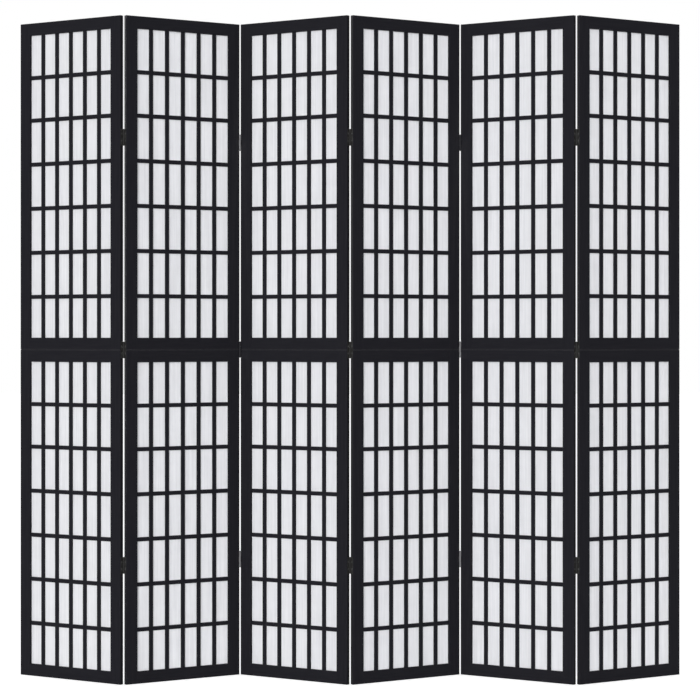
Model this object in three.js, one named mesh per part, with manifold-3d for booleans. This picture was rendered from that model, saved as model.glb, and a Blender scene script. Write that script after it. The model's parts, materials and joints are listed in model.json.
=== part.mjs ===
// A free-standing shoji folding screen of six hinged panels, standing in a zigzag.
//
// Each panel is two wooden half-frames, one on top of the other, pinned together by dowels. A
// lattice of thin bars fills each half-frame, set back from its front, and a sheet of fabric is
// stretched over the back of the lattice. Butt hinges join the edges of neighbouring panels: at a
// near fold they sit at the back faces, at a far fold at the front faces, so the panels fold flat
// on each other like a concertina.
//
// Units are millimetres. +Z is up, the front looks along -Y, and the origin lies on the floor
// under the middle of the screen. A panel is drawn with its lower left front corner at its own
// origin: X runs along its width, Y from its front face to its back face, Z up.

import * as THREE from 'three';
import { mergeVertices } from 'three/addons/utils/BufferGeometryUtils.js';
import Module from 'manifold-3d';

const wasm = await Module();
wasm.setup();

// ---------------------------------------------------------------- driving dimensions

// The screen
const PANELS = 6;
const SCREEN_HEIGHT = 1800;
const PANEL_WIDTH = 350;
const REST_FOLD = 65.1; // degrees that each fold is turned from flat as the screen stands
const FIT = 0.3; // clearance between pieces that touch

// The half-frames
const FRAME_THICKNESS = 12;
const STILE_WIDTH = 33.8;
const TOP_RAIL = 33.4;
const BOTTOM_RAIL = 32.8;
const DOWEL_RADIUS = 3;
const DOWEL_RISE = 20; // height of a dowel over the joint between the halves
const DOWEL_SIDES = 6;

// The lattice
const COLUMNS = 6;
const ROWS = 7;
const UPRIGHT_WIDTH = 10.9; // of an upright bar
const CROSSBAR_HEIGHT = 11; // of a level bar
const BAR_DEPTH = 4.7;
const BAR_RECESS = 2.8; // from the front of the frame to the front of the bars
const TOP_CELL_EXTRA = 1; // what the top cell is taller than a plain one
const SECOND_CELL_LESS = 4.2; // what the second cell is shorter than a plain one
const LAST_CELL_LESS = 3.6; // what the bottom cell is shorter than a plain one

// The fabric
const FABRIC_THICKNESS = 0.5;
const REBATE_WIDTH = 5; // ledge round the window, where the edge of the fabric is glued
const FABRIC_TRIM = 0.5; // from the cut edge of the fabric to the wall of the rebate

// The hinges
const EDGE_GAP = 0.6; // between the edges of two panels that stand in line
const PIN_OFFSET = 2.5; // from the face of a panel to the axis of the pin
const PIN_RADIUS = 1.7;
const PIN_SIDES = 6;
const BORE_CLEARANCE = 0.2; // round the pin, measured at the flats of the bore
const BORE_SIDES = 6;
const KNUCKLE_SIDES = 8;
const HINGE_HEIGHT = 45;
const LEAF_THICKNESS = 1.4;
const LEAF_REACH = 10.4; // from the face of a panel to the end of the leaf
const LOW_HINGE = 320; // from the floor to the middle of the low hinge
const HIGH_HINGE = 327.5; // from the top to the middle of the high hinge

// ---------------------------------------------------------------- sizes that follow

const OVERCUT = 1; // what a cutter sticks out of the wood that it cuts
const halfHeight = (SCREEN_HEIGHT - FIT) / 2;
const upperStart = halfHeight + FIT;
const latticeBack = BAR_RECESS + BAR_DEPTH;
const boreRadius = (PIN_RADIUS + BORE_CLEARANCE) / Math.cos(Math.PI / BORE_SIDES);
const knuckleRadius = PIN_RADIUS + BORE_CLEARANCE + LEAF_THICKNESS; // rolled from the leaf
const knuckleHeight = HINGE_HEIGHT / 3;
const hingeHeights = {
  bottom: LOW_HINGE,
  middle: SCREEN_HEIGHT / 2,
  top: SCREEN_HEIGHT - HIGH_HINGE,
};

// The floor of a mortise is bevelled at its mouth to clear the knuckles. On a bevel at 45 degrees,
// across plus along, both measured from the pin, is the same everywhere.
const mortiseDepth = LEAF_THICKNESS + FIT;
const bevelSum = (knuckleRadius + FIT) * Math.SQRT2;
const mortiseBevel = Math.max(FIT, bevelSum - EDGE_GAP / 2 - mortiseDepth - PIN_OFFSET);

const windowBox = {
  left: STILE_WIDTH,
  right: PANEL_WIDTH - STILE_WIDTH,
  bottom: BOTTOM_RAIL,
  top: halfHeight - TOP_RAIL,
};

const lacquer = new THREE.MeshStandardMaterial({ color: 0x25252a, roughness: 0.5, metalness: 0 });
const cloth = new THREE.MeshStandardMaterial({ color: 0xe6e7eb, roughness: 0.95, metalness: 0 });
const bronze = new THREE.MeshStandardMaterial({ color: 0x4a4842, roughness: 0.45, metalness: 0.8 });

// ---------------------------------------------------------------- solids

// A closed geometry as a solid that can be joined and cut.
function solid(geometry) {
  geometry.deleteAttribute('normal');
  geometry.deleteAttribute('uv');
  const merged = mergeVertices(geometry, 1e-4);
  return new wasm.Manifold(new wasm.Mesh({
    numProp: 3,
    vertProperties: merged.attributes.position.array,
    triVerts: new Uint32Array(merged.index.array),
  }));
}

// A solid as a named mesh with flat faces.
function piece(name, shape, material) {
  const { vertProperties, triVerts } = shape.getMesh();
  const shared = new THREE.BufferGeometry();
  shared.setAttribute('position', new THREE.BufferAttribute(vertProperties, 3));
  shared.setIndex(new THREE.BufferAttribute(triVerts, 1));
  const geometry = shared.toNonIndexed();
  geometry.computeVertexNormals();
  const mesh = new THREE.Mesh(geometry, material);
  mesh.name = name;
  return mesh;
}

// A rectangular block between two values on each axis, given in either order.
function block([x0, x1], [y0, y1], [z0, z1]) {
  const geometry = new THREE.BoxGeometry(Math.abs(x1 - x0), Math.abs(y1 - y0), Math.abs(z1 - z0));
  return solid(geometry.translate((x0 + x1) / 2, (y0 + y1) / 2, (z0 + z1) / 2));
}

// An upright prism with its axis on x, y, from one height to another.
function post(radius, sides, [x, y], [z0, z1]) {
  const geometry = new THREE.CylinderGeometry(radius, radius, z1 - z0, sides);
  return solid(geometry.rotateX(Math.PI / 2).translate(x, y, (z0 + z1) / 2));
}

// ---------------------------------------------------------------- the half-frames

// The heights of the cells from the top row down: all alike, apart from the top, second and
// bottom ones.
function cellHeights() {
  const extra = new Array(ROWS).fill(0);
  extra[0] += TOP_CELL_EXTRA;
  extra[1] -= SECOND_CELL_LESS;
  extra[ROWS - 1] -= LAST_CELL_LESS;
  const open = windowBox.top - windowBox.bottom - (ROWS - 1) * CROSSBAR_HEIGHT;
  const plain = (open - extra.reduce((sum, value) => sum + value)) / ROWS;
  return extra.map((value) => plain + value);
}

// The bars of the lattice. They are halved into each other, so that their faces lie in one plane,
// and their ends are let into the frame by half the width of the rebate behind them.
function latticeBars() {
  const { left, right, bottom, top } = windowBox;
  const depth = [BAR_RECESS, latticeBack];
  const letIn = REBATE_WIDTH / 2;
  const bars = [];

  const cellWidth = (right - left - (COLUMNS - 1) * UPRIGHT_WIDTH) / COLUMNS;
  const upright = [bottom - letIn, top + letIn];
  for (let bar = 1; bar < COLUMNS; bar++) {
    const barRight = left + bar * (cellWidth + UPRIGHT_WIDTH);
    bars.push(block([barRight - UPRIGHT_WIDTH, barRight], depth, upright));
  }

  const level = [left - letIn, right + letIn];
  let barTop = top;
  for (const cellHeight of cellHeights().slice(0, -1)) {
    barTop -= cellHeight;
    bars.push(block(level, depth, [barTop - CROSSBAR_HEIGHT, barTop]));
    barTop -= CROSSBAR_HEIGHT;
  }
  return bars;
}

// Stiles, rails and lattice as one glued piece: a board with the window cut through it and a
// rebate for the fabric sunk from the back, and the bars across the window.
function plainHalfFrame() {
  const { left, right, bottom, top } = windowBox;
  const opening = block(
    [left, right],
    [-OVERCUT, FRAME_THICKNESS + OVERCUT],
    [bottom, top],
  );
  const rebate = block(
    [left - REBATE_WIDTH, right + REBATE_WIDTH],
    [latticeBack, FRAME_THICKNESS + OVERCUT],
    [bottom - REBATE_WIDTH, top + REBATE_WIDTH],
  );
  const board = block([0, PANEL_WIDTH], [0, FRAME_THICKNESS], [0, halfHeight])
    .subtract(opening)
    .subtract(rebate);
  return latticeBars().reduce((frame, bar) => frame.add(bar), board);
}

const halfFrame = plainHalfFrame();
const dowelPlaces = [STILE_WIDTH / 2, PANEL_WIDTH - STILE_WIDTH / 2];

// The lower half holds the dowels, glued into its top.
function lowerHalf() {
  return dowelPlaces.reduce((frame, x) => frame.add(post(
    DOWEL_RADIUS,
    DOWEL_SIDES,
    [x, FRAME_THICKNESS / 2],
    [halfHeight - DOWEL_RISE, halfHeight + DOWEL_RISE],
  )), halfFrame);
}

// The upper half has the holes that they enter.
function upperHalf() {
  return dowelPlaces.reduce((frame, x) => frame.subtract(post(
    DOWEL_RADIUS + FIT,
    DOWEL_SIDES,
    [x, FRAME_THICKNESS / 2],
    [-OVERCUT, DOWEL_RISE],
  )), halfFrame);
}

// The shallow mortises for the hinge leaves in one edge of a half-frame that starts at a height.
// A mortise is open at the edge and at the face where the pin is, and bevelled at that face.
function cutMortises(frame, edge, start) {
  const pinFace = edge.pinAtBack ? FRAME_THICKNESS : 0;
  const inward = edge.pinAtBack ? -1 : 1;
  const plan = [
    [-OVERCUT, -OVERCUT],
    [mortiseDepth + mortiseBevel + OVERCUT, -OVERCUT],
    [mortiseDepth, mortiseBevel],
    [mortiseDepth, LEAF_REACH + FIT],
    [-OVERCUT, LEAF_REACH + FIT],
  ].map(([across, along]) => [edge.x + edge.side * across, pinFace + inward * along]);
  const height = HINGE_HEIGHT + 2 * FIT;
  const cutter = new wasm.CrossSection([plan], 'NonZero').extrude(height);
  return Object.values(hingeHeights).reduce((wood, middleHeight) => (
    wood.subtract(cutter.translate(0, 0, middleHeight - start - height / 2))
  ), frame);
}

// ---------------------------------------------------------------- the fabric

// A flat sheet in the rebate, against the backs of the bars.
function fabricSheet() {
  const overlap = REBATE_WIDTH - FABRIC_TRIM;
  return block(
    [windowBox.left - overlap, windowBox.right + overlap],
    [latticeBack + FIT, latticeBack + FIT + FABRIC_THICKNESS],
    [windowBox.bottom - overlap, windowBox.top + overlap],
  );
}

// ---------------------------------------------------------------- the hinges

// The plate of a leaf, drawn round the pin's axis: side is the way along X to its own panel, and
// inward the way along Y from the pin to that panel. It lies in the mortise, and is cut back where
// the knuckles of the other leaf turn.
function leafPlate(side, inward, otherKnuckles) {
  const across = [side * EDGE_GAP / 2, side * (EDGE_GAP / 2 + LEAF_THICKNESS)];
  const plate = block(
    across,
    [0, inward * (PIN_OFFSET + LEAF_REACH)],
    [-HINGE_HEIGHT / 2, HINGE_HEIGHT / 2],
  );
  return otherKnuckles.reduce((leaf, [z0, z1]) => leaf.subtract(block(
    [across[0] - side * OVERCUT, across[1] + side * OVERCUT],
    [-inward * OVERCUT, inward * (knuckleRadius + FIT)],
    [z0 - FIT, z1 + FIT],
  )), plate);
}

const endKnuckles = [
  [-HINGE_HEIGHT / 2, -knuckleHeight / 2 - FIT / 2],
  [knuckleHeight / 2 + FIT / 2, HINGE_HEIGHT / 2],
];
const middleKnuckle = [-knuckleHeight / 2 + FIT / 2, knuckleHeight / 2 - FIT / 2];

// The leaf with the two end knuckles, in which the pin is fixed.
function pinnedLeaf(side, inward) {
  const bare = leafPlate(side, inward, [middleKnuckle]);
  const knuckled = endKnuckles.reduce((leaf, heights) => leaf.add(
    post(knuckleRadius, KNUCKLE_SIDES, [0, 0], heights),
  ), bare);
  return knuckled.add(post(
    PIN_RADIUS,
    PIN_SIDES,
    [0, 0],
    [-HINGE_HEIGHT / 2 + knuckleHeight / 2, HINGE_HEIGHT / 2 - knuckleHeight / 2],
  ));
}

// The leaf with the middle knuckle, bored for the pin.
function boredLeaf(side, inward) {
  const bore = post(boreRadius, BORE_SIDES, [0, 0], [-HINGE_HEIGHT / 2, HINGE_HEIGHT / 2]);
  return leafPlate(side, inward, endKnuckles)
    .add(post(knuckleRadius, KNUCKLE_SIDES, [0, 0], middleKnuckle))
    .subtract(bore);
}

// ---------------------------------------------------------------- the panels

// The two edges of a panel. An odd panel comes forward from left to right, so its right fold is a
// near one, with the pin at the back, and its left fold is a far one, with the pin at the front.
function panelEdges(number) {
  const comesForward = number % 2 === 1;
  return {
    left: { x: 0, side: 1, pinAtBack: !comesForward, hinged: number > 1 },
    right: { x: PANEL_WIDTH, side: -1, pinAtBack: comesForward, hinged: number < PANELS },
  };
}

// Where the pins of an edge are, in the panel's own plan.
function pinPlace(edge) {
  return new THREE.Vector2(
    edge.x - edge.side * EDGE_GAP / 2,
    edge.pinAtBack ? FRAME_THICKNESS + PIN_OFFSET : -PIN_OFFSET,
  );
}

// One leaf at each height of a hinged edge, named after the fold that it belongs to.
function edgeLeaves(edge, fold, kind, leafSolid) {
  const shape = leafSolid(edge.side, edge.pinAtBack ? -1 : 1);
  const pin = pinPlace(edge);
  return Object.entries(hingeHeights).map(([place, height]) => {
    const leaf = piece(`hinge_${fold}_${place}_${kind}`, shape, bronze);
    leaf.position.set(pin.x, pin.y, height);
    return leaf;
  });
}

// A panel with the leaves that are screwed to it.
function panel(number) {
  const edges = panelEdges(number);
  const group = new THREE.Group();
  const halves = { lower: [lowerHalf(), 0], upper: [upperHalf(), upperStart] };
  for (const [half, [wood, start]] of Object.entries(halves)) {
    const mortised = Object.values(edges)
      .filter((edge) => edge.hinged)
      .reduce((frame, edge) => cutMortises(frame, edge, start), wood);
    const frame = piece(`panel_${number}_${half}_frame`, mortised, lacquer);
    const fabric = piece(`panel_${number}_${half}_fabric`, fabricSheet(), cloth);
    frame.position.z = start;
    fabric.position.z = start;
    group.add(frame, fabric);
  }
  if (edges.left.hinged) {
    group.add(...edgeLeaves(edges.left, `${number - 1}_${number}`, 'bored_leaf', boredLeaf));
  }
  if (edges.right.hinged) {
    group.add(...edgeLeaves(edges.right, `${number}_${number + 1}`, 'pinned_leaf', pinnedLeaf));
  }
  return group;
}

// The panels are strung from pin to pin, each turned by half the fold, one way and the other.
const screen = new THREE.Group();
const nextPin = new THREE.Vector2(0, 0);
for (let number = 1; number <= PANELS; number++) {
  const { left, right } = panelEdges(number);
  const turn = THREE.MathUtils.degToRad(REST_FOLD / 2) * (left.pinAtBack ? 1 : -1);
  const origin = new THREE.Vector2();
  const placed = panel(number);
  origin.copy(nextPin).sub(pinPlace(left).rotateAround(new THREE.Vector2(), turn));
  nextPin.copy(origin).add(pinPlace(right).rotateAround(new THREE.Vector2(), turn));
  placed.rotation.z = turn;
  placed.position.set(origin.x, origin.y, 0);
  screen.add(placed);
}

// The origin goes to the middle of the space that the screen takes on the floor.
const middle = new THREE.Box3().setFromObject(screen, true).getCenter(new THREE.Vector3());
for (const placed of screen.children) {
  placed.position.x -= middle.x;
  placed.position.y -= middle.y;
}

export default screen;
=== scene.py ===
"""A shoji folding screen: six black lacquered panels with white cloth behind their lattice,
joined by small butt hinges and standing in a zigzag.

Sizes are in millimetres in a panel's own space: X along its width from its left edge, Y from its
front face to its back face, Z up from the floor. They become metres where a piece is put in
its place.
"""

import json

import bmesh
import bpy
import numpy as np
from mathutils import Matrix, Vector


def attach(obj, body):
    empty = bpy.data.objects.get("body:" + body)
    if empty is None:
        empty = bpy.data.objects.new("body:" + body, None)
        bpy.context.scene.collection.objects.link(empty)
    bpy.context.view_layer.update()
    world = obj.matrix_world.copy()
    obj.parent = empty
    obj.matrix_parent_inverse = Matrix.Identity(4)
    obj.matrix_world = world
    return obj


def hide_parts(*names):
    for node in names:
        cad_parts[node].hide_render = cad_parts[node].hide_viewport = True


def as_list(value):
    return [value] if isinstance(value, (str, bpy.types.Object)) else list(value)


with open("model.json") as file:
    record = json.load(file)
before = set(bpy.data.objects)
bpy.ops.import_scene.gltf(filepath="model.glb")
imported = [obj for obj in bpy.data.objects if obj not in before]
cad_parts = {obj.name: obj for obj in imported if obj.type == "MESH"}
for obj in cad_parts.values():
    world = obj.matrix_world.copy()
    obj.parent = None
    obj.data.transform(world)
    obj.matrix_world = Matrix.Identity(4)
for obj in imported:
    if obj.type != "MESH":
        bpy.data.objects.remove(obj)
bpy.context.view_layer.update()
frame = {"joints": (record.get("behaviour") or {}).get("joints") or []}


# ---------------------------------------------------------------- how the panels stand
# Six panels of 12 mm board. Each is turned by half of a fold, one way and the other, and hangs
# on the pins of its folds. Odd panels come forward from left to right, and even ones go back.

PANELS = 6
PANEL_WIDTH = 350.0
BOARD = 12.0
HALF_TURN = 32.55  # degrees from the line of the screen to a panel
EDGE_TO_PIN = 0.3  # out of the edge of the panel
FACE_TO_PIN = 2.5  # out of its face, the back one at a near fold and the front one at a far fold
METRES = 0.001

pins = {joint["name"]: np.array(joint["pos_m"][:2]) / METRES for joint in frame["joints"]}


def comes_forward(number):
    """True for the panels whose right edge is nearer to the viewer than their left one."""
    return number % 2 == 1


def pin_at_back(number, side):
    """A near fold has its pin at the back faces, a far fold at the front faces."""
    return comes_forward(number) == (side == "right")


def pin_in_panel(number, side):
    """Where the pins of one edge are, in the panel's own plan."""
    across = PANEL_WIDTH + EDGE_TO_PIN if side == "right" else -EDGE_TO_PIN
    return np.array([across, BOARD + FACE_TO_PIN if pin_at_back(number, side) else -FACE_TO_PIN])


def stand_in_row(points, number):
    """Points of a panel at their place in the screen, in metres: turned about Z by the panel's
    angle and moved so that one pin in the panel falls on the pin of the fold."""
    angle = np.radians(-HALF_TURN if comes_forward(number) else HALF_TURN)
    turn = np.array([[np.cos(angle), -np.sin(angle)], [np.sin(angle), np.cos(angle)]])
    side = "right" if number < PANELS else "left"
    fold = f"fold_{number}_{number + 1}" if side == "right" else f"fold_{number - 1}_{number}"
    placed = points.copy()
    placed[:, :2] = (points[:, :2] - pin_in_panel(number, side)) @ turn.T + pins[fold]
    return placed * METRES


# ---------------------------------------------------------------- stiles
# The upright boards at both sides of a half-frame, planed hardwood under black satin lacquer.
# They are glued to the rails, rebated at the back for the cloth, and mortised for the hinges.

HALVES = {"lower": 0.0, "upper": 900.01}  # the half-frames and the height at which each starts
HALF_HEIGHT = 899.99
STILE_WIDTH = 33.8
TOP_RAIL = 33.4
BOTTOM_RAIL = 32.8
REBATE_WIDTH = 5.0
REBATE_FROM = 7.5  # from the front face to the ledge on which the cloth is glued
OUTER_EASE = 0.35  # radius of the eased edges round the outside of a half-frame
INNER_EASE = 0.35  # of those round its window
MEETING_EASE = 1.5  # of those where the two halves meet
LEAST_EASE = 0.08  # and of an edge that a plane has only just touched
HINGE_HEIGHT = 45.0
HINGE_MIDDLES = {"bottom": 320.0, "middle": 900.0, "top": 1472.5}
MORTISE_DEPTH = 1.7
MORTISE_REACH = 10.7  # from the face with the pin
MORTISE_BEVEL = 0.6  # of its floor at that face, to clear the knuckles
MORTISE_PLAY = 0.3  # over and under the leaf

LACQUER = (0.0148, 0.0146, 0.0184)
LACQUER_PALE = (0.0176, 0.0174, 0.0212)
# Lacquer worn thin on ordinary edges, and a painted highlight round the edges where the two halves
# meet.
LACQUER_WEAR_AND_HIGHLIGHT = (0.04, 0.0395, 0.044)
LACQUER_ROUGHNESS = (0.4, 0.52)  # from the smooth film to the open pores
LACQUER_GLOSS = 0.012
PLAIN_WEAR = 0.35  # of an ordinary edge, where 1 is the painted highlight round the edges that meet
TIMBER = 4000.0  # length, width and depth of the timber in which a board's grain starts somewhere

EASE_ANGLES = np.radians([0.0, 30.0, 60.0, 90.0])
BESIDE = 1e-5  # from a break in a section to the places just before and just after it
MERGED = 2e-6  # metres, within which two points become one
SLIVER = 1e-7  # metres, under which an edge is taken out


def node_of(tree, kind, **inputs):
    """A new node with some of its sockets set, to a value or to another node's output."""
    node = tree.nodes.new(kind)
    for name, value in inputs.items():
        socket = node.inputs[name.replace("_", " ")]
        if isinstance(value, bpy.types.NodeSocket):
            tree.links.new(value, socket)
        else:
            socket.default_value = value
    return node


def noise_of(tree, where, scale, detail, stretch=(1.0, 1.0, 1.0)):
    """Noise on some coordinates, which are stretched along each axis first."""
    mapping = node_of(tree, "ShaderNodeMapping", Vector=where, Scale=stretch)
    noise = node_of(
        tree, "ShaderNodeTexNoise", Vector=mapping.outputs[0], Scale=scale, Detail=detail,
    )
    return noise.outputs["Fac"]


def ramp_of(tree, factor, stops):
    """Colours over a factor from 0 to 1. A stop is a place and an RGB colour."""
    node = node_of(tree, "ShaderNodeValToRGB", Fac=factor)
    elements = node.color_ramp.elements
    while len(elements) < len(stops):
        elements.new(0.5)
    for element, (place, colour) in zip(elements, stops):
        element.position = place
        element.color = (*colour, 1.0)
    return node.outputs["Color"]


def range_of(tree, value, source, target):
    """A value moved from one range to another, and held inside the second."""
    node = node_of(
        tree, "ShaderNodeMapRange", Value=value,
        From_Min=source[0], From_Max=source[1], To_Min=target[0], To_Max=target[1],
    )
    return node.outputs["Result"]


def attribute_of(tree, name):
    """The node that reads one of the piece's own attributes."""
    node = tree.nodes.new("ShaderNodeAttribute")
    node.attribute_name = name
    return node


def new_material(name):
    """An empty material, its node tree and its surface output."""
    material = bpy.data.materials.new(name)
    material.use_nodes = True
    material.node_tree.nodes.clear()
    output = material.node_tree.nodes.new("ShaderNodeOutputMaterial")
    return material, material.node_tree, output


def make_black_lacquer():
    """Thin satin lacquer over open-grained wood. The grain runs with each board: long pores show
    as a fine relief, the colour drifts slowly along them, and the film is thin on the edges.
    Round the edges where the two halves meet, the lighter colour is a painted highlight."""
    material, tree, output = new_material("black_lacquer")
    grain = attribute_of(tree, "grain").outputs["Vector"]
    edge = attribute_of(tree, "edge").outputs["Fac"]
    figure = noise_of(tree, grain, scale=0.12, detail=4.0, stretch=(0.12, 1.6, 1.6))
    pores = noise_of(tree, grain, scale=1.0, detail=3.0, stretch=(0.09, 3.2, 3.2))
    brushing = noise_of(tree, grain, scale=0.5, detail=2.0, stretch=(0.03, 1.0, 1.0))
    handling = noise_of(tree, grain, scale=0.16, detail=3.0)
    film = ramp_of(tree, figure, [(0.35, LACQUER), (0.68, LACQUER_PALE)])
    # The lighter colour goes with the edge value: wear on ordinary edges, a painted highlight where
    # the halves meet.
    painted_light_and_wear = node_of(tree, "ShaderNodeMath", Value=edge)
    painted_light_and_wear.operation = "MULTIPLY"
    tree.links.new(range_of(tree, handling, (0.35, 0.65), (0.45, 1.0)), painted_light_and_wear.inputs[1])
    colour = node_of(tree, "ShaderNodeMix")
    colour.data_type = "RGBA"
    tree.links.new(painted_light_and_wear.outputs[0], colour.inputs["Factor"])
    tree.links.new(film, colour.inputs["A"])
    colour.inputs["B"].default_value = (*LACQUER_WEAR_AND_HIGHLIGHT, 1.0)
    relief = node_of(tree, "ShaderNodeBump", Height=pores, Strength=0.16, Distance=0.0002)
    waves = node_of(
        tree, "ShaderNodeBump", Height=brushing, Strength=0.1, Distance=0.0006,
        Normal=relief.outputs[0],
    )
    shader = node_of(
        tree, "ShaderNodeBsdfPrincipled",
        Base_Color=colour.outputs["Result"],
        Roughness=range_of(tree, pores, (0.3, 0.7), LACQUER_ROUGHNESS),
        Specular_IOR_Level=LACQUER_GLOSS,
        Normal=waves.outputs[0],
    )
    tree.links.new(shader.outputs[0], output.inputs["Surface"])
    return material


black_lacquer = make_black_lacquer()


def eased_outline(corners):
    """The outline of a section at every station along a piece, anticlockwise. A corner is its
    place (stations x 2), the direction in which the outline comes to it, the one in which it
    leaves, and its radius (stations). For a from 0 to 90 degrees the quarter round is
    corner - radius * coming * (1 - sin a) + radius * leaving * (1 - cos a).
    One more point lies a radius past each end of it, where the edge value falls back to 0.
    Returns the points (stations x points x 2) and the edge value of each point of a station."""
    rounds = []
    for place, coming, leaving, radius in corners:
        r = radius[:, None, None]
        back = np.array([2.0, *(1 - np.sin(EASE_ANGLES)), 0.0])[None, :, None]
        on = np.array([0.0, *(1 - np.cos(EASE_ANGLES)), 2.0])[None, :, None]
        rounds.append(place[:, None, :] - r * back * np.array(coming) + r * on * np.array(leaving))
    edge = np.array([0.0, *np.sin(2 * EASE_ANGLES) ** 0.5, 0.0])
    return np.concatenate(rounds, axis=1), np.tile(edge, len(corners))


def walls_between(rings, count):
    """Four-cornered faces between each closed ring of points and the next one."""
    index = np.arange(rings * count).reshape(rings, count)
    after = np.roll(index, -1, axis=1)
    faces = np.stack([index[:-1], after[:-1], after[1:], index[1:]], axis=-1)
    return faces.reshape(-1, 4).tolist()


def carried(outlines, places, first, second):
    """A closed shell: outlines (stations x points x 2) carried along places (stations x 3), with
    the outline's first number along the vector first and its second along the vector second.
    Point = place + a * first + b * second. Both ends are closed by the outline itself."""
    stations, count = outlines.shape[:2]
    points = places[:, None, :] + outlines[..., :1] * first + outlines[..., 1:] * second
    first_end = list(range(count))[::-1]
    last_end = list(range((stations - 1) * count, stations * count))
    return points.reshape(-1, 3), [*walls_between(stations, count), first_end, last_end]


def joined(shells):
    """Several shells as one list of points and one of faces."""
    points, faces, start = [], [], 0
    for shell_points, shell_faces in shells:
        points.append(shell_points)
        faces += [[start + corner for corner in face] for face in shell_faces]
        start += len(shell_points)
    return np.concatenate(points), faces


def new_piece(name, shell, number, material, nodes, attributes=None, smooth=35.0):
    """Puts a shell of a panel's own space in its place as a piece of the screen. Points that fall
    on each other are merged, faces are turned outwards, and edges past the angle stay sharp."""
    points, faces = shell
    mesh = bpy.data.meshes.new(name)
    mesh.from_pydata(stand_in_row(points, number).tolist(), [], faces)
    for key, values in (attributes or {}).items():
        kind, field = ("FLOAT", "value") if values.ndim == 1 else ("FLOAT_VECTOR", "vector")
        attribute = mesh.attributes.new(key, kind, "POINT")
        attribute.data.foreach_set(field, values.astype(np.float32).ravel())
    shape = bmesh.new()
    shape.from_mesh(mesh)
    bmesh.ops.remove_doubles(shape, verts=shape.verts, dist=MERGED)
    bmesh.ops.dissolve_degenerate(shape, edges=shape.edges, dist=SLIVER)
    bmesh.ops.recalc_face_normals(shape, faces=shape.faces)
    shape.to_mesh(mesh)
    shape.free()
    mesh.shade_smooth()
    mesh.set_sharp_from_angle(angle=np.radians(smooth))
    mesh.materials.append(material)
    piece = bpy.data.objects.new(name, mesh)
    bpy.context.scene.collection.objects.link(piece)
    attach(piece, f"panel_{number}")
    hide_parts(*nodes)
    return piece


def stations_at(breaks):
    """Two stations at each break, one just before and one just after it, so that a section may
    change there at once. Returns their places and the places at which they are worked out."""
    breaks = np.unique(np.asarray(breaks, float))
    step = np.tile([-BESIDE, BESIDE], len(breaks))
    return np.repeat(breaks, 2), np.repeat(breaks, 2) + step


def end_inset(along, length, eases):
    """How far the two rounded ends draw the section in: ease - sqrt(ease^2 - (ease - d)^2), where
    d is the distance to the end."""
    inset = np.zeros_like(along)
    for ease, to_end in zip(eases, (along, length - along)):
        left = np.clip(ease - to_end, 0, ease)
        inset = np.maximum(inset, ease - np.sqrt(ease**2 - left**2))
    return inset


def wear_and_seam_highlight(edge, along, length, meets_above):
    """The edge value of every point: that of its place in the section as edge wear, weaker than
    where the two halves meet, and 1 round the whole of that end, which is a painted highlight."""
    to_end = length - along if meets_above else along
    seam_highlight_at_end = np.clip(1 - np.abs(to_end - MEETING_EASE / 2) / MEETING_EASE, 0, 1)
    return np.maximum(edge[None, :] * PLAIN_WEAR, seam_highlight_at_end[:, None]).ravel()


def grain_along(points, order):
    """Millimetres along, across and into a board, from a start of its own in the timber."""
    return points[:, order] + timber.uniform(0, TIMBER, 3)


def half_frames():
    """Every half-frame: its panel's number, which half it is, and the height at which it starts."""
    for number in range(1, PANELS + 1):
        for half, start in HALVES.items():
            yield number, half, start


def frame_piece(kind, number, half, shell, grain, edge):
    """A wooden piece of a half-frame, put in its place and noted under its half-frame."""
    name = f"panel_{number}_{half}_{kind}"
    frame_pieces.setdefault((number, half), []).append(name)
    new_piece(
        name, shell, number, black_lacquer,
        [f"panel_{number}_{half}_frame"], {"grain": grain, "edge": edge},
    )


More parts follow.
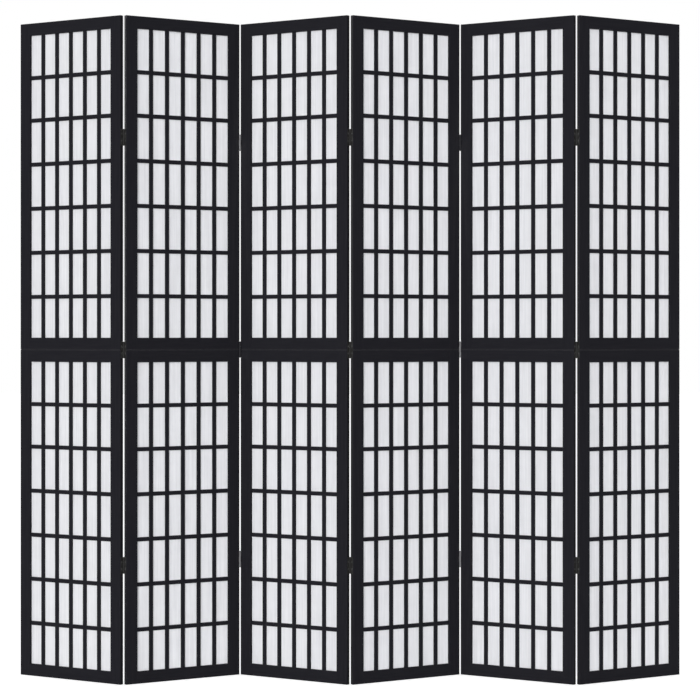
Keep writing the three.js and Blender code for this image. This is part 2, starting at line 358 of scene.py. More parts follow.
def stile(start, hinged, at_back):
    """The left stile of a half-frame: its section in plan, carried up. The section is a board
    with rounded corners. Along the window a step is cut from its back inner corner, and at each
    hinge a shallow bevelled step from the outer corner on the side of the pin."""
    meets_above = start == 0
    window = (BOTTOM_RAIL, HALF_HEIGHT - TOP_RAIL)
    rebate = (window[0] - REBATE_WIDTH, window[1] + REBATE_WIDTH)
    reach = HINGE_HEIGHT / 2 + MORTISE_PLAY
    middles = [height - start for height in HINGE_MIDDLES.values()]
    mortises = [(middle - reach, middle + reach) for middle in middles]
    mortises = [m for m in mortises if hinged and m[0] < HALF_HEIGHT and m[1] > 0]
    eases = (OUTER_EASE, MEETING_EASE) if meets_above else (MEETING_EASE, OUTER_EASE)
    steps = 1 - np.cos(EASE_ANGLES)
    breaks = [
        *(eases[0] * steps), *(HALF_HEIGHT - eases[1] * steps),
        2 * eases[0], HALF_HEIGHT - 2 * eases[1],
        *window, window[0] + INNER_EASE, window[1] - INNER_EASE,
        *rebate, *np.clip(np.array(mortises).ravel(), 0, HALF_HEIGHT),
    ]
    up, at = stations_at(breaks)
    zero = np.zeros_like(up)
    inset = end_inset(up, HALF_HEIGHT, eases)
    mortised = zero > 0
    for low, high in mortises:
        mortised |= (at > low) & (at < high)
    step = ((at > rebate[0]) & (at < rebate[1])) * (BOARD - REBATE_FROM)
    inner = np.interp(
        up,
        [window[0], window[0] + INNER_EASE, window[1] - INNER_EASE, window[1]],
        [LEAST_EASE, INNER_EASE, INNER_EASE, LEAST_EASE],
    )
    outer = np.maximum(OUTER_EASE - inset, LEAST_EASE / 2)
    bare = np.where(mortised, 0, outer)
    floor = np.where(mortised, MORTISE_DEPTH, inset)
    mouth = floor + mortised * MORTISE_BEVEL
    wide = zero + STILE_WIDTH
    back = BOARD - inset
    pin_face = back if at_back else inset
    past_the_mouth = np.where(mortised, MORTISE_BEVEL, 3 * OUTER_EASE)
    bevel_end = pin_face + (-past_the_mouth if at_back else past_the_mouth)
    notch_end = zero + (BOARD - MORTISE_REACH if at_back else MORTISE_REACH)
    corners = [
        (wide, inset, (1, 0), (0, 1), inner),
        (wide, back - step, (0, 1), (-1, 0), np.where(step > 0, LEAST_EASE, inner)),
        (wide - REBATE_WIDTH, back - step, (-1, 0), (0, 1), zero),
        (wide - REBATE_WIDTH, back, (0, 1), (-1, 0), np.where(step > 0, INNER_EASE / 2, 0)),
    ]
    if at_back:
        corners += [
            (mouth, pin_face, (-1, 0), (0, -1), bare),
            (floor, bevel_end, (0, -1), (0, -1), zero),
            (floor, notch_end, (0, -1), (-1, 0), zero),
            (inset, notch_end, (-1, 0), (0, -1), zero),
            (inset, inset, (0, -1), (1, 0), outer),
        ]
    else:
        corners += [
            (inset, back, (-1, 0), (0, -1), outer),
            (inset, notch_end, (0, -1), (1, 0), zero),
            (floor, notch_end, (1, 0), (0, -1), zero),
            (floor, bevel_end, (0, -1), (0, -1), zero),
            (mouth, pin_face, (0, -1), (1, 0), bare),
        ]
    outlines, edge = eased_outline([
        (np.stack([x, y], axis=1), coming, leaving, radius)
        for x, y, coming, leaving, radius in corners
    ])
    places = np.stack([zero, zero, up], axis=1)
    points, faces = carried(outlines, places, np.array([1.0, 0, 0]), np.array([0, 1.0, 0]))
    # The edge value is edge wear, and at the end where the halves meet, a painted highlight.
    return points, faces, wear_and_seam_highlight(edge, up, HALF_HEIGHT, meets_above)


frame_pieces = {}
timber = np.random.default_rng(7)
for number, half, start in half_frames():
    for side in ("left", "right"):
        hinged = number > 1 if side == "left" else number < PANELS
        points, faces, edge = stile(start, hinged, pin_at_back(number, side))
        if side == "right":
            points[:, 0] = PANEL_WIDTH - points[:, 0]
        grain = grain_along(points, [2, 0, 1])
        points[:, 2] += start
        frame_piece(f"{side}_stile", number, half, (points, faces), grain, edge)


# ---------------------------------------------------------------- rails
# The level boards at the top and the bottom of a half-frame, of the same timber as the stiles
# and glued between them, with the same rebate. Only a hairline shows where they meet.

RAIL_GAP = 0.02


def rail(height, meets):
    """The bottom rail of a half-frame: its section, seen from the right, carried from stile to
    stile. Its outer edges are rounded, more so where it meets the other half, and the rebate
    steps the back inner corner."""
    ease = MEETING_EASE if meets else OUTER_EASE
    length = PANEL_WIDTH - 2 * STILE_WIDTH - 2 * RAIL_GAP
    along, _ = stations_at([0, LEAST_EASE, length - LEAST_EASE, length])
    zero = np.zeros_like(along)
    inset = end_inset(along, length, (LEAST_EASE, LEAST_EASE))
    top, ledge = zero + height, zero + height - REBATE_WIDTH
    back = BOARD - inset
    corners = [
        (inset, zero, (0, -1), (1, 0), zero + ease),
        (back, zero, (1, 0), (0, 1), zero + ease),
        (back, ledge, (0, 1), (-1, 0), zero + INNER_EASE / 2),
        (zero + REBATE_FROM, ledge, (-1, 0), (0, 1), zero),
        (zero + REBATE_FROM, top, (0, 1), (-1, 0), zero + LEAST_EASE),
        (inset, top, (-1, 0), (0, -1), zero + INNER_EASE),
    ]
    outlines, edge = eased_outline([
        (np.stack([y, z], axis=1), coming, leaving, radius)
        for y, z, coming, leaving, radius in corners
    ])
    places = np.stack([STILE_WIDTH + RAIL_GAP + along, zero, zero], axis=1)
    points, faces = carried(outlines, places, np.array([0, 1.0, 0]), np.array([0, 0, 1.0]))
    # A painted highlight round the edge where the rail meets the other half.
    seam_highlight = meets * np.clip(1 - np.abs(points[:, 2] - ease / 2) / ease, 0, 1)
    return points, faces, np.maximum(np.tile(edge, len(along)) * PLAIN_WEAR, seam_highlight)


for number, half, start in half_frames():
    for place, height in (("bottom", BOTTOM_RAIL), ("top", TOP_RAIL)):
        meets = (half == "lower") == (place == "top")
        points, faces, edge = rail(height, meets)
        if place == "top":
            points[:, 2] = HALF_HEIGHT - points[:, 2]
        grain = grain_along(points, [0, 2, 1])
        points[:, 2] += start
        frame_piece(f"{place}_rail", number, half, (points, faces), grain, edge)


# ---------------------------------------------------------------- lattice
# Five upright and six level bars in each half-frame, 4.7 mm deep, set back from its front. They
# are halved into each other: the uprights are whole in front, the level bars behind.

COLUMNS = 6
ROWS = 7
UPRIGHT_WIDTH = 10.9
CROSSBAR_HEIGHT = 11.0
BAR_FRONT = 2.8
BAR_BACK = 7.5
BAR_EASE = 0.3
HALVING = 5.15  # depth at which the two bars of a crossing meet
HALVING_PLAY = 0.06
TOP_CELL_EXTRA = 1.0
SECOND_CELL_LESS = 4.2
LAST_CELL_LESS = 3.6


def upright_lefts():
    """Left edges of the upright bars: the window shared out in equal columns."""
    cell = (PANEL_WIDTH - 2 * STILE_WIDTH - (COLUMNS - 1) * UPRIGHT_WIDTH) / COLUMNS
    return STILE_WIDTH + cell + np.arange(COLUMNS - 1) * (cell + UPRIGHT_WIDTH)


def crossbar_bottoms():
    """Lower edges of the level bars, from the top one down: all cells are alike in height, apart
    from the top, second and bottom ones."""
    extra = np.zeros(ROWS)
    extra[[0, 1, -1]] = TOP_CELL_EXTRA, -SECOND_CELL_LESS, -LAST_CELL_LESS
    window = HALF_HEIGHT - TOP_RAIL - BOTTOM_RAIL - (ROWS - 1) * CROSSBAR_HEIGHT
    cells = (window - extra.sum()) / ROWS + extra
    return HALF_HEIGHT - TOP_RAIL - np.cumsum(cells[:-1] + CROSSBAR_HEIGHT)


def bar(length, width, crossings, whole_in_front):
    """A lattice bar from 0 to its length: a rectangle with eased corners, width by depth, carried
    along it. At each crossing the depth drops to the half that stays, at once."""
    along, at = stations_at([0, length, *np.ravel(crossings)])
    cut = np.zeros_like(along, bool)
    for low, high in crossings:
        cut |= (at > low) & (at < high)
    keep_front, keep_back = (BAR_FRONT, HALVING - HALVING_PLAY), (HALVING + HALVING_PLAY, BAR_BACK)
    front = np.where(cut, keep_front[0] if whole_in_front else keep_back[0], BAR_FRONT)
    back = np.where(cut, keep_front[1] if whole_in_front else keep_back[1], BAR_BACK)
    front_ease = BAR_EASE * ~(cut & (not whole_in_front))
    back_ease = BAR_EASE * ~(cut & whole_in_front)
    zero = np.zeros_like(along)
    outlines, edge = eased_outline([
        (np.stack([zero, front], axis=1), (0, -1), (1, 0), front_ease),
        (np.stack([zero + width, front], axis=1), (1, 0), (0, 1), front_ease),
        (np.stack([zero + width, back], axis=1), (0, 1), (-1, 0), back_ease),
        (np.stack([zero, back], axis=1), (-1, 0), (0, -1), back_ease),
    ])
    return outlines, along, np.tile(edge * PLAIN_WEAR, len(along))


def upright_bars():
    """The upright bars, from rail to rail."""
    for left in upright_lefts():
        low = crossbar_bottoms()[::-1] - BOTTOM_RAIL
        crossings = np.stack([low - HALVING_PLAY, low + CROSSBAR_HEIGHT + HALVING_PLAY], axis=1)
        length = HALF_HEIGHT - TOP_RAIL - BOTTOM_RAIL
        outlines, along, edge = bar(length, UPRIGHT_WIDTH, crossings, whole_in_front=True)
        zero = np.zeros_like(along)
        places = np.stack([zero + left, zero, BOTTOM_RAIL + along], axis=1)
        points, faces = carried(outlines, places, np.array([1.0, 0, 0]), np.array([0, 1.0, 0]))
        yield points, faces, edge, [2, 0, 1]


def level_bars():
    """The level bars, from stile to stile."""
    for bottom in crossbar_bottoms():
        low = upright_lefts() - STILE_WIDTH
        crossings = np.stack([low - HALVING_PLAY, low + UPRIGHT_WIDTH + HALVING_PLAY], axis=1)
        length = PANEL_WIDTH - 2 * STILE_WIDTH
        outlines, along, edge = bar(length, CROSSBAR_HEIGHT, crossings, whole_in_front=False)
        zero = np.zeros_like(along)
        places = np.stack([STILE_WIDTH + along, zero, zero + bottom], axis=1)
        points, faces = carried(outlines, places, np.array([0, 0, 1.0]), np.array([0, 1.0, 0]))
        yield points, faces, edge, [0, 2, 1]


for number, half, start in half_frames():
    for kind, bars in (("uprights", upright_bars()), ("level_bars", level_bars())):
        shells, grains, edges = [], [], []
        for points, faces, edge, order in bars:
            grains.append(grain_along(points, order))
            edges.append(edge)
            points[:, 2] += start
            shells.append((points, faces))
        frame_piece(
            kind, number, half, joined(shells), np.concatenate(grains), np.concatenate(edges),
        )


# ---------------------------------------------------------------- cloth
# One white sheet of slub cloth behind each lattice, cut to the rebate and glued round its edge
# and to the backs of the bars. Between the bars it gives a little, a different amount in each.

CLOTH_EDGE = 4.5  # of the sheet on the ledge of the rebate
CLOTH_FRONT = 7.53
CLOTH_THICKNESS = 0.3
CLOTH_SLACK = 0.3
LEAST_GIVE = 0.2  # of a cell of cloth, where 1 is all the slack
CLOTH = (0.832, 0.834, 0.859)
CLOTH_SHADED = (0.72, 0.722, 0.746)
CLOTH_THROUGH = (0.98, 0.985, 0.995)  # of the light that isn't reflected, what comes through
CLOTH_THROUGH_SHADED = (0.94, 0.945, 0.955)
CLOTH_OPENNESS = 0.4  # share of the light that passes through from the other side
SLUB_CONTRAST = 0.8
STREAK_CONTRAST = 0.8
SHADED_AT = 0.3  # of the streaks, where the cloth is darkest
CLEAR_AT = 0.62  # and from where on it is lightest
WEAVE_PITCH = 0.55
CLOTH_ROLL = 3000.0  # the woven length and width in which a sheet's pattern starts somewhere
CELL_STEPS_ACROSS = 5
CELL_STEPS_UP = 10


def make_white_cloth():
    """Plain weave of white slub yarn. Thicker yarns run upwards as faint streaks, the weave is a
    relief of two crossing waves, and part of the light comes through from behind."""
    material, tree, output = new_material("white_cloth")
    weave = attribute_of(tree, "weave").outputs["Vector"]
    slubs = noise_of(tree, weave, scale=0.3, detail=2.0, stretch=(1.0, 0.02, 1.0))
    yarns = noise_of(tree, weave, scale=1.6, detail=2.0, stretch=(1.0, 0.05, 1.0))
    clouds = noise_of(tree, weave, scale=0.03, detail=3.0)
    streaks = node_of(tree, "ShaderNodeMath", Value=slubs)
    streaks.operation = "MULTIPLY_ADD"
    streaks.inputs[1].default_value = SLUB_CONTRAST
    tree.links.new(range_of(tree, yarns, (0.2, 0.8), (0.0, 0.25)), streaks.inputs[2])
    shade = node_of(tree, "ShaderNodeMath", Value=streaks.outputs[0])
    shade.operation = "MULTIPLY_ADD"
    shade.inputs[1].default_value = STREAK_CONTRAST
    tree.links.new(range_of(tree, clouds, (0.3, 0.7), (0.0, 0.08)), shade.inputs[2])
    colour, light = (
        ramp_of(tree, shade.outputs[0], [(SHADED_AT, shaded), (CLEAR_AT, clear)])
        for shaded, clear in ((CLOTH_SHADED, CLOTH), (CLOTH_THROUGH_SHADED, CLOTH_THROUGH))
    )
    # A wave texture of scale 1 repeats after pi / 10.
    scale = np.pi / 10 / WEAVE_PITCH
    heights = []
    for direction in ("X", "Y"):
        wave = node_of(tree, "ShaderNodeTexWave", Vector=weave, Scale=scale, Distortion=0.3)
        wave.bands_direction = direction
        heights.append(wave.outputs["Fac"])
    crossing = node_of(tree, "ShaderNodeMath", Value=heights[0])
    crossing.operation = "MAXIMUM"
    tree.links.new(heights[1], crossing.inputs[1])
    relief = node_of(
        tree, "ShaderNodeBump", Height=crossing.outputs[0], Strength=0.3, Distance=0.0001,
    )
    slub_relief = node_of(
        tree, "ShaderNodeBump", Height=slubs, Strength=0.25, Distance=0.0004,
        Normal=relief.outputs[0],
    )
    front = node_of(
        tree, "ShaderNodeBsdfPrincipled", Base_Color=colour, Roughness=0.9,
        Specular_IOR_Level=0.15, Sheen_Weight=0.08, Sheen_Roughness=0.5,
        Normal=slub_relief.outputs[0],
    )
    through = node_of(tree, "ShaderNodeBsdfTranslucent", Color=light, Normal=slub_relief.outputs[0])
    both = node_of(tree, "ShaderNodeMixShader", Fac=CLOTH_OPENNESS)
    tree.links.new(front.outputs[0], both.inputs[1])
    tree.links.new(through.outputs[0], both.inputs[2])
    tree.links.new(both.outputs[0], output.inputs["Surface"])
    return material


white_cloth = make_white_cloth()


def cell_lines(starts, size, first, last, steps):
    """Grid lines across the sheet and how slack it is on each: none on the bars and the ledge,
    and sin of the way through the cell in between."""
    lows = np.array([first + CLOTH_EDGE, *(starts + size)])
    highs = np.array([*starts, last - CLOTH_EDGE])
    way = np.linspace(0, 1, steps + 1)
    lines = (lows[:, None] + (highs - lows)[:, None] * way).ravel()
    slack = np.tile(np.sin(np.pi * way), len(lows))
    cells = np.repeat(np.arange(len(lows)), steps + 1)
    return (
        np.concatenate([[first], lines, [last]]),
        np.concatenate([[0.0], slack, [0.0]]),
        np.concatenate([[0], cells, [cells[-1]]]),
    )


def cloth_sheet(rng):
    """The sheet as a grid over its width and height. Its front stands at CLOTH_FRONT plus, in
    each cell, a slack of its own times the two sines across and up; its back a thickness on."""
    xs, slack_x, column = cell_lines(
        upright_lefts(), UPRIGHT_WIDTH,
        STILE_WIDTH - CLOTH_EDGE, PANEL_WIDTH - STILE_WIDTH + CLOTH_EDGE, CELL_STEPS_ACROSS,
    )
    zs, slack_z, row = cell_lines(
        crossbar_bottoms()[::-1], CROSSBAR_HEIGHT,
        BOTTOM_RAIL - CLOTH_EDGE, HALF_HEIGHT - TOP_RAIL + CLOTH_EDGE, CELL_STEPS_UP,
    )
    give = rng.uniform(LEAST_GIVE, 1.0, (ROWS, COLUMNS))[row][:, column]
    depth = CLOTH_FRONT + CLOTH_SLACK * give * slack_z[:, None] * slack_x[None, :]
    grid_x, grid_z = np.meshgrid(xs, zs)
    front = np.stack([grid_x, depth, grid_z], axis=-1)
    back = front + np.array([0, CLOTH_THICKNESS, 0])
    index = np.arange(front[..., 0].size).reshape(front.shape[:2])
    quads = np.stack([index[:-1, :-1], index[:-1, 1:], index[1:, 1:], index[1:, :-1]], axis=-1)
    quads = quads.reshape(-1, 4)
    rim = np.concatenate([index[0, :-1], index[:-1, -1], index[-1, :0:-1], index[:0:-1, 0]])
    rim_next = np.roll(rim, -1)
    shift = index.size
    sides = np.stack([rim_next, rim, rim + shift, rim_next + shift], axis=-1)
    points = np.concatenate([front.reshape(-1, 3), back.reshape(-1, 3)])
    return points, [*quads.tolist(), *(quads[:, ::-1] + shift).tolist(), *sides.tolist()]


loom = np.random.default_rng(11)
for number, half, start in half_frames():
    points, faces = cloth_sheet(loom)
    weave = points[:, [0, 2, 1]] + loom.uniform(0, CLOTH_ROLL, 3)
    size = np.ptp(points, axis=0) * METRES
    points[:, 2] += start
    cloth = new_piece(
        f"panel_{number}_{half}_cloth", (points, faces), number, white_cloth,
        [f"panel_{number}_{half}_fabric"], {"weave": weave}, smooth=60.0,
    )
    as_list(frame_pieces[number, half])


# ---------------------------------------------------------------- hinge leaves
# Each butt hinge is two pressed steel leaves let into the edges of the panels. Strips of a leaf
# are rolled round the pin: the end knuckles belong to the left panel, the middle one to the right.

LEAF_THICKNESS = 1.4
LEAF_START = 3.6  # from the pin's axis to the edge of the plate, clear of the other knuckles
LEAF_END = 12.9
KNUCKLE_RADIUS = 3.3
KNUCKLE_GAP = 0.1
BEND_RADIUS = 0.8  # of the middle of the strip where it turns from the plate on to the knuckle
SEAM_ANGLE = 30.0  # degrees from the plate back to where the rolled strip ends
LEAF_EASE = 0.14
SCREW_PLACES = (-9.5, 9.5)
SCREW_IN = FACE_TO_PIN + BOARD / 2  # from the pin's axis, in the middle of the wooden edge
SINK_RADIUS = 3.0
SHANK_HOLE = 1.7
RAY_STEP = 9.0  # degrees between the rays round a screw hole
BEND_STEPS = 7
ROLL_STEPS = 30

# The lightest steel colour is a painted highlight for the proud side of a barrel, and the darkest
# is painted shade for its sheltered side between the panels.
PAINTED_SHADE_STEEL = (0.02, 0.0198, 0.0195)
PLAIN_STEEL = (0.035, 0.0346, 0.033)
PAINTED_HIGHLIGHT_STEEL = (0.165, 0.165, 0.171)
# Two hinges get a steel as dark as the wood; its lighter stop is a painted highlight on the proud
# side.
DARKEST_STEEL = (0.011, 0.011, 0.0135)
DARKEST_STEEL_HIGHLIGHT = (0.016, 0.016, 0.019)
BARE_METAL = 0.3  # share of bare metal under the dark finish
STEEL_GLOSS = 0.1
BLOTCHINESS = 0.14
PLATE_LIGHT_LEVEL = 0.45  # of the plates, on a scale from painted shade at 0 in the sheltered corner to a painted highlight at 1 on the proud side
DARKEST_HINGES = ("2_3_middle", "4_5_top")  # these two are as black as the wood in the photo


def make_steel(name, stops, roughness):
    """Darkened steel, blotchy, with fine scratches along it. The colour goes through the stops by
    the piece's own value of painted light and shade: painted shade where it is sheltered, a painted
    highlight where it is proud, and the steel is smoother towards the light end."""
    material, tree, output = new_material(name)
    where = tree.nodes.new("ShaderNodeTexCoord").outputs["Object"]
    blotches = noise_of(tree, where, scale=120.0, detail=4.0)
    scratches = noise_of(tree, where, scale=900.0, detail=2.0, stretch=(1.0, 1.0, 0.08))
    relief = node_of(tree, "ShaderNodeBump", Height=scratches, Strength=0.12, Distance=0.00005)
    painted_light_blotchy = node_of(tree, "ShaderNodeMath", Value=attribute_of(tree, "painted_light_and_wear").outputs["Fac"])
    painted_light_blotchy.operation = "ADD"
    uneven = range_of(tree, blotches, (0.25, 0.75), (-BLOTCHINESS, BLOTCHINESS))
    tree.links.new(uneven, painted_light_blotchy.inputs[1])
    shader = node_of(
        tree, "ShaderNodeBsdfPrincipled",
        Base_Color=ramp_of(tree, painted_light_blotchy.outputs[0], stops),
        Roughness=range_of(tree, painted_light_blotchy.outputs[0], (0.0, 1.0), (roughness + 0.1, roughness - 0.05)),
        Metallic=BARE_METAL,
        Specular_IOR_Level=STEEL_GLOSS,
        Normal=relief.outputs[0],
    )
    tree.links.new(shader.outputs[0], output.inputs["Surface"])
    return material


darkened_steel = make_steel(
    "darkened_steel",
    [(0.1, PAINTED_SHADE_STEEL), (PLATE_LIGHT_LEVEL, PLAIN_STEEL), (0.9, PAINTED_HIGHLIGHT_STEEL)],
    roughness=0.42,
)
darkest_steel = make_steel(
    "darkest_steel", [(0.0, DARKEST_STEEL), (1.0, DARKEST_STEEL_HIGHLIGHT)], roughness=0.5,
)


def hinges():
    """Every hinge: its name, the panel on its left, its height and its finish."""
    for left_panel in range(1, PANELS):
        for place, height in HINGE_MIDDLES.items():
            hinge = f"{left_panel}_{left_panel + 1}_{place}"
            metal = darkest_steel if hinge in DARKEST_HINGES else darkened_steel
            yield hinge, left_panel, height, metal


def leaves_of(left_panel):
    """The two leaves of a hinge: the kind of each, its panel and the edge that it is let into."""
    return ("pinned_leaf", left_panel, "right"), ("bored_leaf", left_panel + 1, "left")


def rim_of_half(hole, rays, low, high, drawn_in):
    """Where rays from a screw hole meet the rim of its half of the plate: hole + reach * ray, with
    the least reach of the four sides. They are drawn in, but not the join, at height 0."""
    lowest = low + np.where(low == 0, 0, drawn_in)
    highest = high - np.where(high == 0, 0, drawn_in)
    with np.errstate(divide="ignore"):
        reach = np.where(rays > 0, (highest - hole) / rays, (lowest - hole) / rays)
    return hole + rays * np.min(np.abs(reach), axis=1, keepdims=True)


def leaf_plate():
    """The plate, in across (off the edge plane), inward (from the pin) and up. Round each screw
    hole the same rays run from the hole to the rim of that half of the plate, and the rings on
    them go round the metal: back, side, front, countersink, hole."""
    back, front = EDGE_TO_PIN + LEAF_THICKNESS, EDGE_TO_PIN
    shells = []
    for sign in (-1, 1):
        hole = np.array([SCREW_IN, sign * SCREW_PLACES[1]])
        low = np.array([LEAF_START, min(0, sign * HINGE_HEIGHT / 2)])
        high = np.array([LEAF_END, max(0, sign * HINGE_HEIGHT / 2)])
        corners = np.array([low, [high[0], low[1]], high, [low[0], high[1]]])
        corner_angles = np.arctan2(*(corners - hole).T[::-1])
        even_angles = np.radians(np.arange(-180, 180, RAY_STEP))
        angles = np.sort(np.concatenate([even_angles, corner_angles]))
        rays = np.stack([np.cos(angles), np.sin(angles)], axis=1)
        rim = rim_of_half(hole, rays, low, high, 0)
        rings = [
            (back, rim),
            (front + LEAF_EASE, rim),
            (front, rim_of_half(hole, rays, low, high, LEAF_EASE)),
            (front, hole + rays * (SINK_RADIUS + LEAF_EASE)),
            (front + LEAF_EASE / 2, hole + rays * SINK_RADIUS),
            (back - LEAF_EASE, hole + rays * SHANK_HOLE),
            (back, hole + rays * SHANK_HOLE),
        ]
        points = np.concatenate([
            np.concatenate([np.full((len(rays), 1), across), plan], axis=1)
            for across, plan in rings
        ])
        faces = np.array(walls_between(len(rings) + 1, len(rays))) % len(points)
        on_the_join = np.all(np.abs(points[faces][:, :, 2]) < 1e-9, axis=1)
        shells.append((points, faces[~on_the_join].tolist()))
    return joined(shells)


def knuckle(low, high):
    """A strip rolled round the pin, from one height to another: a rectangle with eased corners,
    thickness by height, carried along the strip. Its path goes straight in from the plate,
    turns off in a bend and then runs round the pin as a circle, to the seam."""
    middle = EDGE_TO_PIN + LEAF_THICKNESS / 2
    roll = KNUCKLE_RADIUS - LEAF_THICKNESS / 2
    bend_x = middle - BEND_RADIUS
    bend_y = np.sqrt((roll + BEND_RADIUS) ** 2 - bend_x**2)
    meet = np.arctan2(bend_x, bend_y)
    bend = np.linspace(0, np.pi / 2 + meet, BEND_STEPS)
    round_pin = np.linspace(-meet, 2 * np.pi - np.radians(SEAM_ANGLE), ROLL_STEPS)[1:]
    across = np.concatenate([
        [middle], bend_x + BEND_RADIUS * np.cos(bend), -roll * np.sin(round_pin),
    ])
    inward = np.concatenate([
        [LEAF_START], bend_y - BEND_RADIUS * np.sin(bend), roll * np.cos(round_pin),
    ])
    normal_across = np.concatenate([[-1], -np.cos(bend), -np.sin(round_pin)])
    normal_inward = np.concatenate([[0], np.sin(bend), np.cos(round_pin)])
    zero = np.zeros(len(across))
    thick, tall = zero + LEAF_THICKNESS / 2, zero + (high - low) / 2
    ease = zero + LEAF_EASE
    outlines, _ = eased_outline([
        (np.stack([-thick, -tall], axis=1), (0, -1), (1, 0), ease),
        (np.stack([thick, -tall], axis=1), (1, 0), (0, 1), ease),
        (np.stack([thick, tall], axis=1), (0, 1), (-1, 0), ease),
        (np.stack([-thick, tall], axis=1), (-1, 0), (0, -1), ease),
    ])
    places = np.stack([across, inward, zero + (low + high) / 2], axis=1)
    normals = np.stack([normal_across, normal_inward, zero], axis=1)[:, None, :]
    return carried(outlines, places, normals, np.array([0, 0, 1.0]))


def painted_light_at(points):
    """How light the steel is painted, by how far in from the pin it lies: a painted highlight on
    the proud side of the barrel and painted shade on its sheltered side, between the panels."""
    return np.interp(
        points[:, 1], [-1.5, 0.8, KNUCKLE_RADIUS, LEAF_START], [1.0, 0.15, 0.0, PLATE_LIGHT_LEVEL],
    )


def at_hinge(shell, number, side, height):
    """A shell of the hinge's own space in the panel's: off the edge plane, in from the pin, up."""
    points, faces = shell
    pin = pin_in_panel(number, side)
    off_edge = 1 if side == "left" else -1
    inward = -1 if pin_at_back(number, side) else 1
    return np.stack([
        pin[0] + off_edge * points[:, 0], pin[1] + inward * points[:, 1], height + points[:, 2],
    ], axis=1), faces


KNUCKLE_HEIGHT = HINGE_HEIGHT / 3
end_knuckles = [
    (-HINGE_HEIGHT / 2, -KNUCKLE_HEIGHT / 2 - KNUCKLE_GAP / 2),
    (KNUCKLE_HEIGHT / 2 + KNUCKLE_GAP / 2, HINGE_HEIGHT / 2),
]
middle_knuckle = [(-KNUCKLE_HEIGHT / 2 + KNUCKLE_GAP / 2, KNUCKLE_HEIGHT / 2 - KNUCKLE_GAP / 2)]
leaves = {
    "pinned_leaf": joined([leaf_plate(), *(knuckle(*heights) for heights in end_knuckles)]),
    "bored_leaf": joined([leaf_plate(), *(knuckle(*heights) for heights in middle_knuckle)]),
}
for hinge, left_panel, height, metal in hinges():
    for kind, number, side in leaves_of(left_panel):
        new_piece(
            f"hinge_{hinge}_{kind}_plate", at_hinge(leaves[kind], number, side, height),
            number, metal, [f"hinge_{hinge}_{kind}"],
            # Painted light and shade on the steel: light on the proud side, dark in the sheltered
            # corner.
            {"painted_light_and_wear": painted_light_at(leaves[kind][0])},
        )


# ---------------------------------------------------------------- hinge pins
# A drawn steel pin through the three knuckles of each hinge, tight in the end ones, with both
# ends turned slightly round.

PIN_PLAY = 0.05
PIN_RADIUS = KNUCKLE_RADIUS - LEAF_THICKNESS - PIN_PLAY
PIN_SIDES = 28
PIN_CROWN = 0.35
CROWN_ANGLES = np.radians([0.0, 22.5, 45.0, 67.5, 90.0])


def turned_round(radii, heights, sides):
    """A profile turned about the upright axis: point = (r cos a, r sin a, z) for each point r, z
    of the profile. The profile's ends lie on the axis."""
    angles = np.arange(sides) * 2 * np.pi / sides
    points = np.stack([
        np.outer(radii, np.cos(angles)), np.outer(radii, np.sin(angles)),
        np.repeat(np.asarray(heights)[:, None], sides, axis=1),
    ], axis=-1)
    return points.reshape(-1, 3), walls_between(len(radii), sides)


pin_radii = PIN_RADIUS * np.sin(CROWN_ANGLES)
pin_ends = HINGE_HEIGHT / 2 - PIN_CROWN * (1 - np.cos(CROWN_ANGLES))
hinge_pin = turned_round(
    np.concatenate([pin_radii, pin_radii[::-1]]), np.concatenate([-pin_ends, pin_ends[::-1]]),
    PIN_SIDES,
)
for hinge, left_panel, height, metal in hinges():
    new_piece(
        f"hinge_{hinge}_pin", at_hinge(hinge_pin, left_panel, "right", height),
        left_panel, metal, [f"hinge_{hinge}_pinned_leaf"],
        # The pins are painted at the plates' level of light and shade.
        {"painted_light_and_wear": np.full(len(hinge_pin[0]), PLATE_LIGHT_LEVEL)},
    )


# ---------------------------------------------------------------- hinge screws
# Two small countersunk wood screws with a cross recess hold each leaf, driven flush into the
# edge of the stile.

SCREW_HEAD_RADIUS = 2.85
SCREW_HEAD_EASE = 0.12
SCREW_SUNK = 0.1  # from the face of the leaf to the top of the head
NECK_DEPTH = 1.25  # from the top of the head to where its cone ends
NECK_RADIUS = 1.5
SHANK_RADIUS = 1.4
RECESS_REACH = 1.6
RECESS_HALF_WIDTH = 0.45
RECESS_DEPTH = 1.0
RECESS_SHOULDER = 0.85  # of its depth, where the floor meets the walls
RECESS_TAPER = 0.72  # of its width at the mouth, which is left there
SCREW_LENGTH = 12.0
POINT_STARTS = 0.7  # of the length
SCREW_LIGHT_LEVEL = 0.64


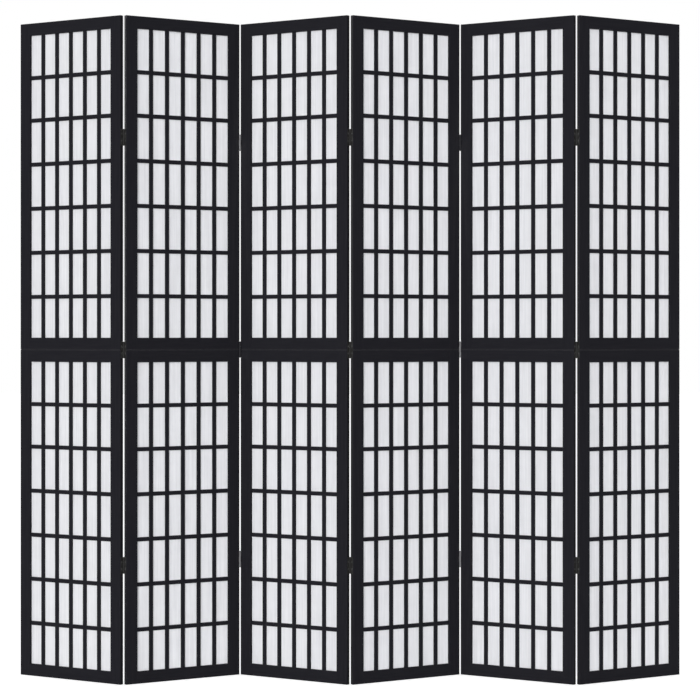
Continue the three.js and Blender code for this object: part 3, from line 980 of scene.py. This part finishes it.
def screw():
    """A screw along the across axis, round rings that share their rays. The recess is a cross:
    at an angle a from an arm its outline is reach / cos a out to the arm's corner, and then
    half the width / sin a. Rings: floor and mouth of the recess, rim, cone, shank, point."""
    corner = np.arctan2(RECESS_HALF_WIDTH, RECESS_REACH)
    quarter = np.array([0, corner / 2, corner, np.pi / 8, np.pi / 4])
    quarter = np.concatenate([quarter, np.pi / 2 - quarter[-2:0:-1]])
    angles = np.concatenate([quarter + turn * np.pi / 2 for turn in range(4)])
    from_arm = np.abs((angles + np.pi / 4) % (np.pi / 2) - np.pi / 4)
    cross = np.where(
        from_arm <= corner + 1e-9,
        RECESS_REACH / np.cos(from_arm),
        RECESS_HALF_WIDTH / np.maximum(np.sin(from_arm), 1e-9),
    )
    one = np.ones_like(angles)
    rings = [
        (RECESS_DEPTH, 0 * one),
        (RECESS_DEPTH * RECESS_SHOULDER, cross * RECESS_TAPER),
        (0, cross),
        (0, (SCREW_HEAD_RADIUS - SCREW_HEAD_EASE) * one),
        (SCREW_HEAD_EASE, SCREW_HEAD_RADIUS * one),
        (NECK_DEPTH, NECK_RADIUS * one),
        (SCREW_LENGTH * POINT_STARTS, SHANK_RADIUS * one),
        (SCREW_LENGTH, 0 * one),
    ]
    top = EDGE_TO_PIN + SCREW_SUNK
    points = np.concatenate([
        np.stack([top + depth * one, SCREW_IN + r * np.cos(angles), r * np.sin(angles)], axis=1)
        for depth, r in rings
    ])
    return points, walls_between(len(rings), len(angles))


def turned_screw(up, angle):
    """A screw at a height of the leaf, driven to an angle of its own."""
    points, faces = screw()
    y, z = points[:, 1] - SCREW_IN, points[:, 2]
    return np.stack([
        points[:, 0],
        SCREW_IN + y * np.cos(angle) - z * np.sin(angle),
        up + y * np.sin(angle) + z * np.cos(angle),
    ], axis=1), faces


driver = np.random.default_rng(5)
for hinge, left_panel, height, metal in hinges():
    for kind, number, side in leaves_of(left_panel):
        pair = joined([turned_screw(up, driver.uniform(0, np.pi / 2)) for up in SCREW_PLACES])
        new_piece(
            f"hinge_{hinge}_{kind}_screws", at_hinge(pair, number, side, height),
            number, metal, [f"hinge_{hinge}_{kind}"],
            # The screw heads are painted a little lighter than the plates on the same scale of
            # light and shade.
            {"painted_light_and_wear": np.full(len(pair[0]), SCREW_LIGHT_LEVEL)},
        )


# ---------------------------------------------------------------- floor, backdrop and light
# A plain white floor and a white surround. Both show white to the eye and in reflections, and
# the floor keeps the soft shadow of the screen.

FLOOR_SIZE = 60.0
FLOOR_DROP = 0.0004
FLOOR_COLOUR = (0.84, 0.84, 0.84, 1.0)
WHITE = (1.0, 1.0, 1.0, 1.0)
FLOOR_GLOW = 0.75  # what the floor adds where the eye or a reflection meets it
SURROUND_LIGHT = 0.26


def seen_directly(tree):
    """1 for rays from the eye, from a reflection or through glass, and 0 for the rest."""
    path = tree.nodes.new("ShaderNodeLightPath")
    seen = path.outputs["Is Camera Ray"]
    for name in ("Is Glossy Ray", "Is Transmission Ray"):
        either = node_of(tree, "ShaderNodeMath", Value=seen)
        either.operation = "MAXIMUM"
        tree.links.new(path.outputs[name], either.inputs[1])
        seen = either.outputs[0]
    return seen


corners = FLOOR_SIZE / 2 * np.array([[-1, -1], [1, -1], [1, 1], [-1, 1]])
floor_mesh = bpy.data.meshes.new("floor")
floor_mesh.from_pydata([(x, y, -FLOOR_DROP) for x, y in corners], [], [(0, 1, 2, 3)])
floor = bpy.data.objects.new("floor", floor_mesh)
bpy.context.scene.collection.objects.link(floor)
floor_paint, tree, output = new_material("floor_paint")
matt = node_of(tree, "ShaderNodeBsdfDiffuse", Color=FLOOR_COLOUR)
glow = node_of(
    tree, "ShaderNodeEmission", Color=WHITE,
    Strength=range_of(tree, seen_directly(tree), (0.0, 1.0), (0.0, FLOOR_GLOW)),
)
total = tree.nodes.new("ShaderNodeAddShader")
tree.links.new(matt.outputs[0], total.inputs[0])
tree.links.new(glow.outputs[0], total.inputs[1])
tree.links.new(total.outputs[0], output.inputs["Surface"])
floor_mesh.materials.append(floor_paint)

world = bpy.data.worlds.new("surround")
world.use_nodes = True
bpy.context.scene.world = world
tree = world.node_tree
background = tree.nodes["Background"]
background.inputs["Color"].default_value = WHITE
surround_strength = range_of(tree, seen_directly(tree), (0.0, 1.0), (SURROUND_LIGHT, 1.0))
tree.links.new(surround_strength, background.inputs["Strength"])

# The main light falls from behind the camera and a little from the left, so that the panels which
# face left are a shade lighter. A weaker one falls on the back. Both are soft and far away, which
# lights all six panels alike. A lamp is the direction to it, its strength and its width in degrees.
LAMPS = {
    "front_lamp": ((-2.8, -12.0, 1.95), 2.45, 16.0),
    "back_lamp": ((-7.0, 7.0, 1.6), 1.7, 16.0),
}
for name, (place, strength, width) in LAMPS.items():
    lamp = bpy.data.lights.new(name, "SUN")
    lamp.energy = strength
    lamp.angle = np.radians(width)
    stand = bpy.data.objects.new(name, lamp)
    stand.location = place
    stand.rotation_euler = Vector(place).to_track_quat("Z", "Y").to_euler()
    bpy.context.scene.collection.objects.link(stand)


# ---------------------------------------------------------------- camera
# A long lens at about chest height, level and square to the row of panels. The picture is
# shifted down, because the horizon lies above its middle.

PICTURE = 700  # pixels along each side
HORIZON_ROW = 334.2
MIDDLE_COLUMN = 350.08
FOCAL_PIXELS = 2295.0
SENSOR = 36.0
CAMERA_DISTANCE = 6.2666  # metres in front of the middle of the screen
CAMERA_HEIGHT = 0.9424

lens = bpy.data.cameras.new("camera")
lens.sensor_width = SENSOR
lens.lens = FOCAL_PIXELS * SENSOR / PICTURE
lens.shift_x = (PICTURE / 2 - MIDDLE_COLUMN) / PICTURE
lens.shift_y = (HORIZON_ROW - PICTURE / 2) / PICTURE
camera = bpy.data.objects.new("camera", lens)
camera.location = (0.0, -CAMERA_DISTANCE, CAMERA_HEIGHT)
camera.rotation_euler = (np.pi / 2, 0.0, 0.0)
bpy.context.scene.collection.objects.link(camera)
bpy.context.scene.camera = camera
bpy.context.scene.view_settings.view_transform = "Standard"
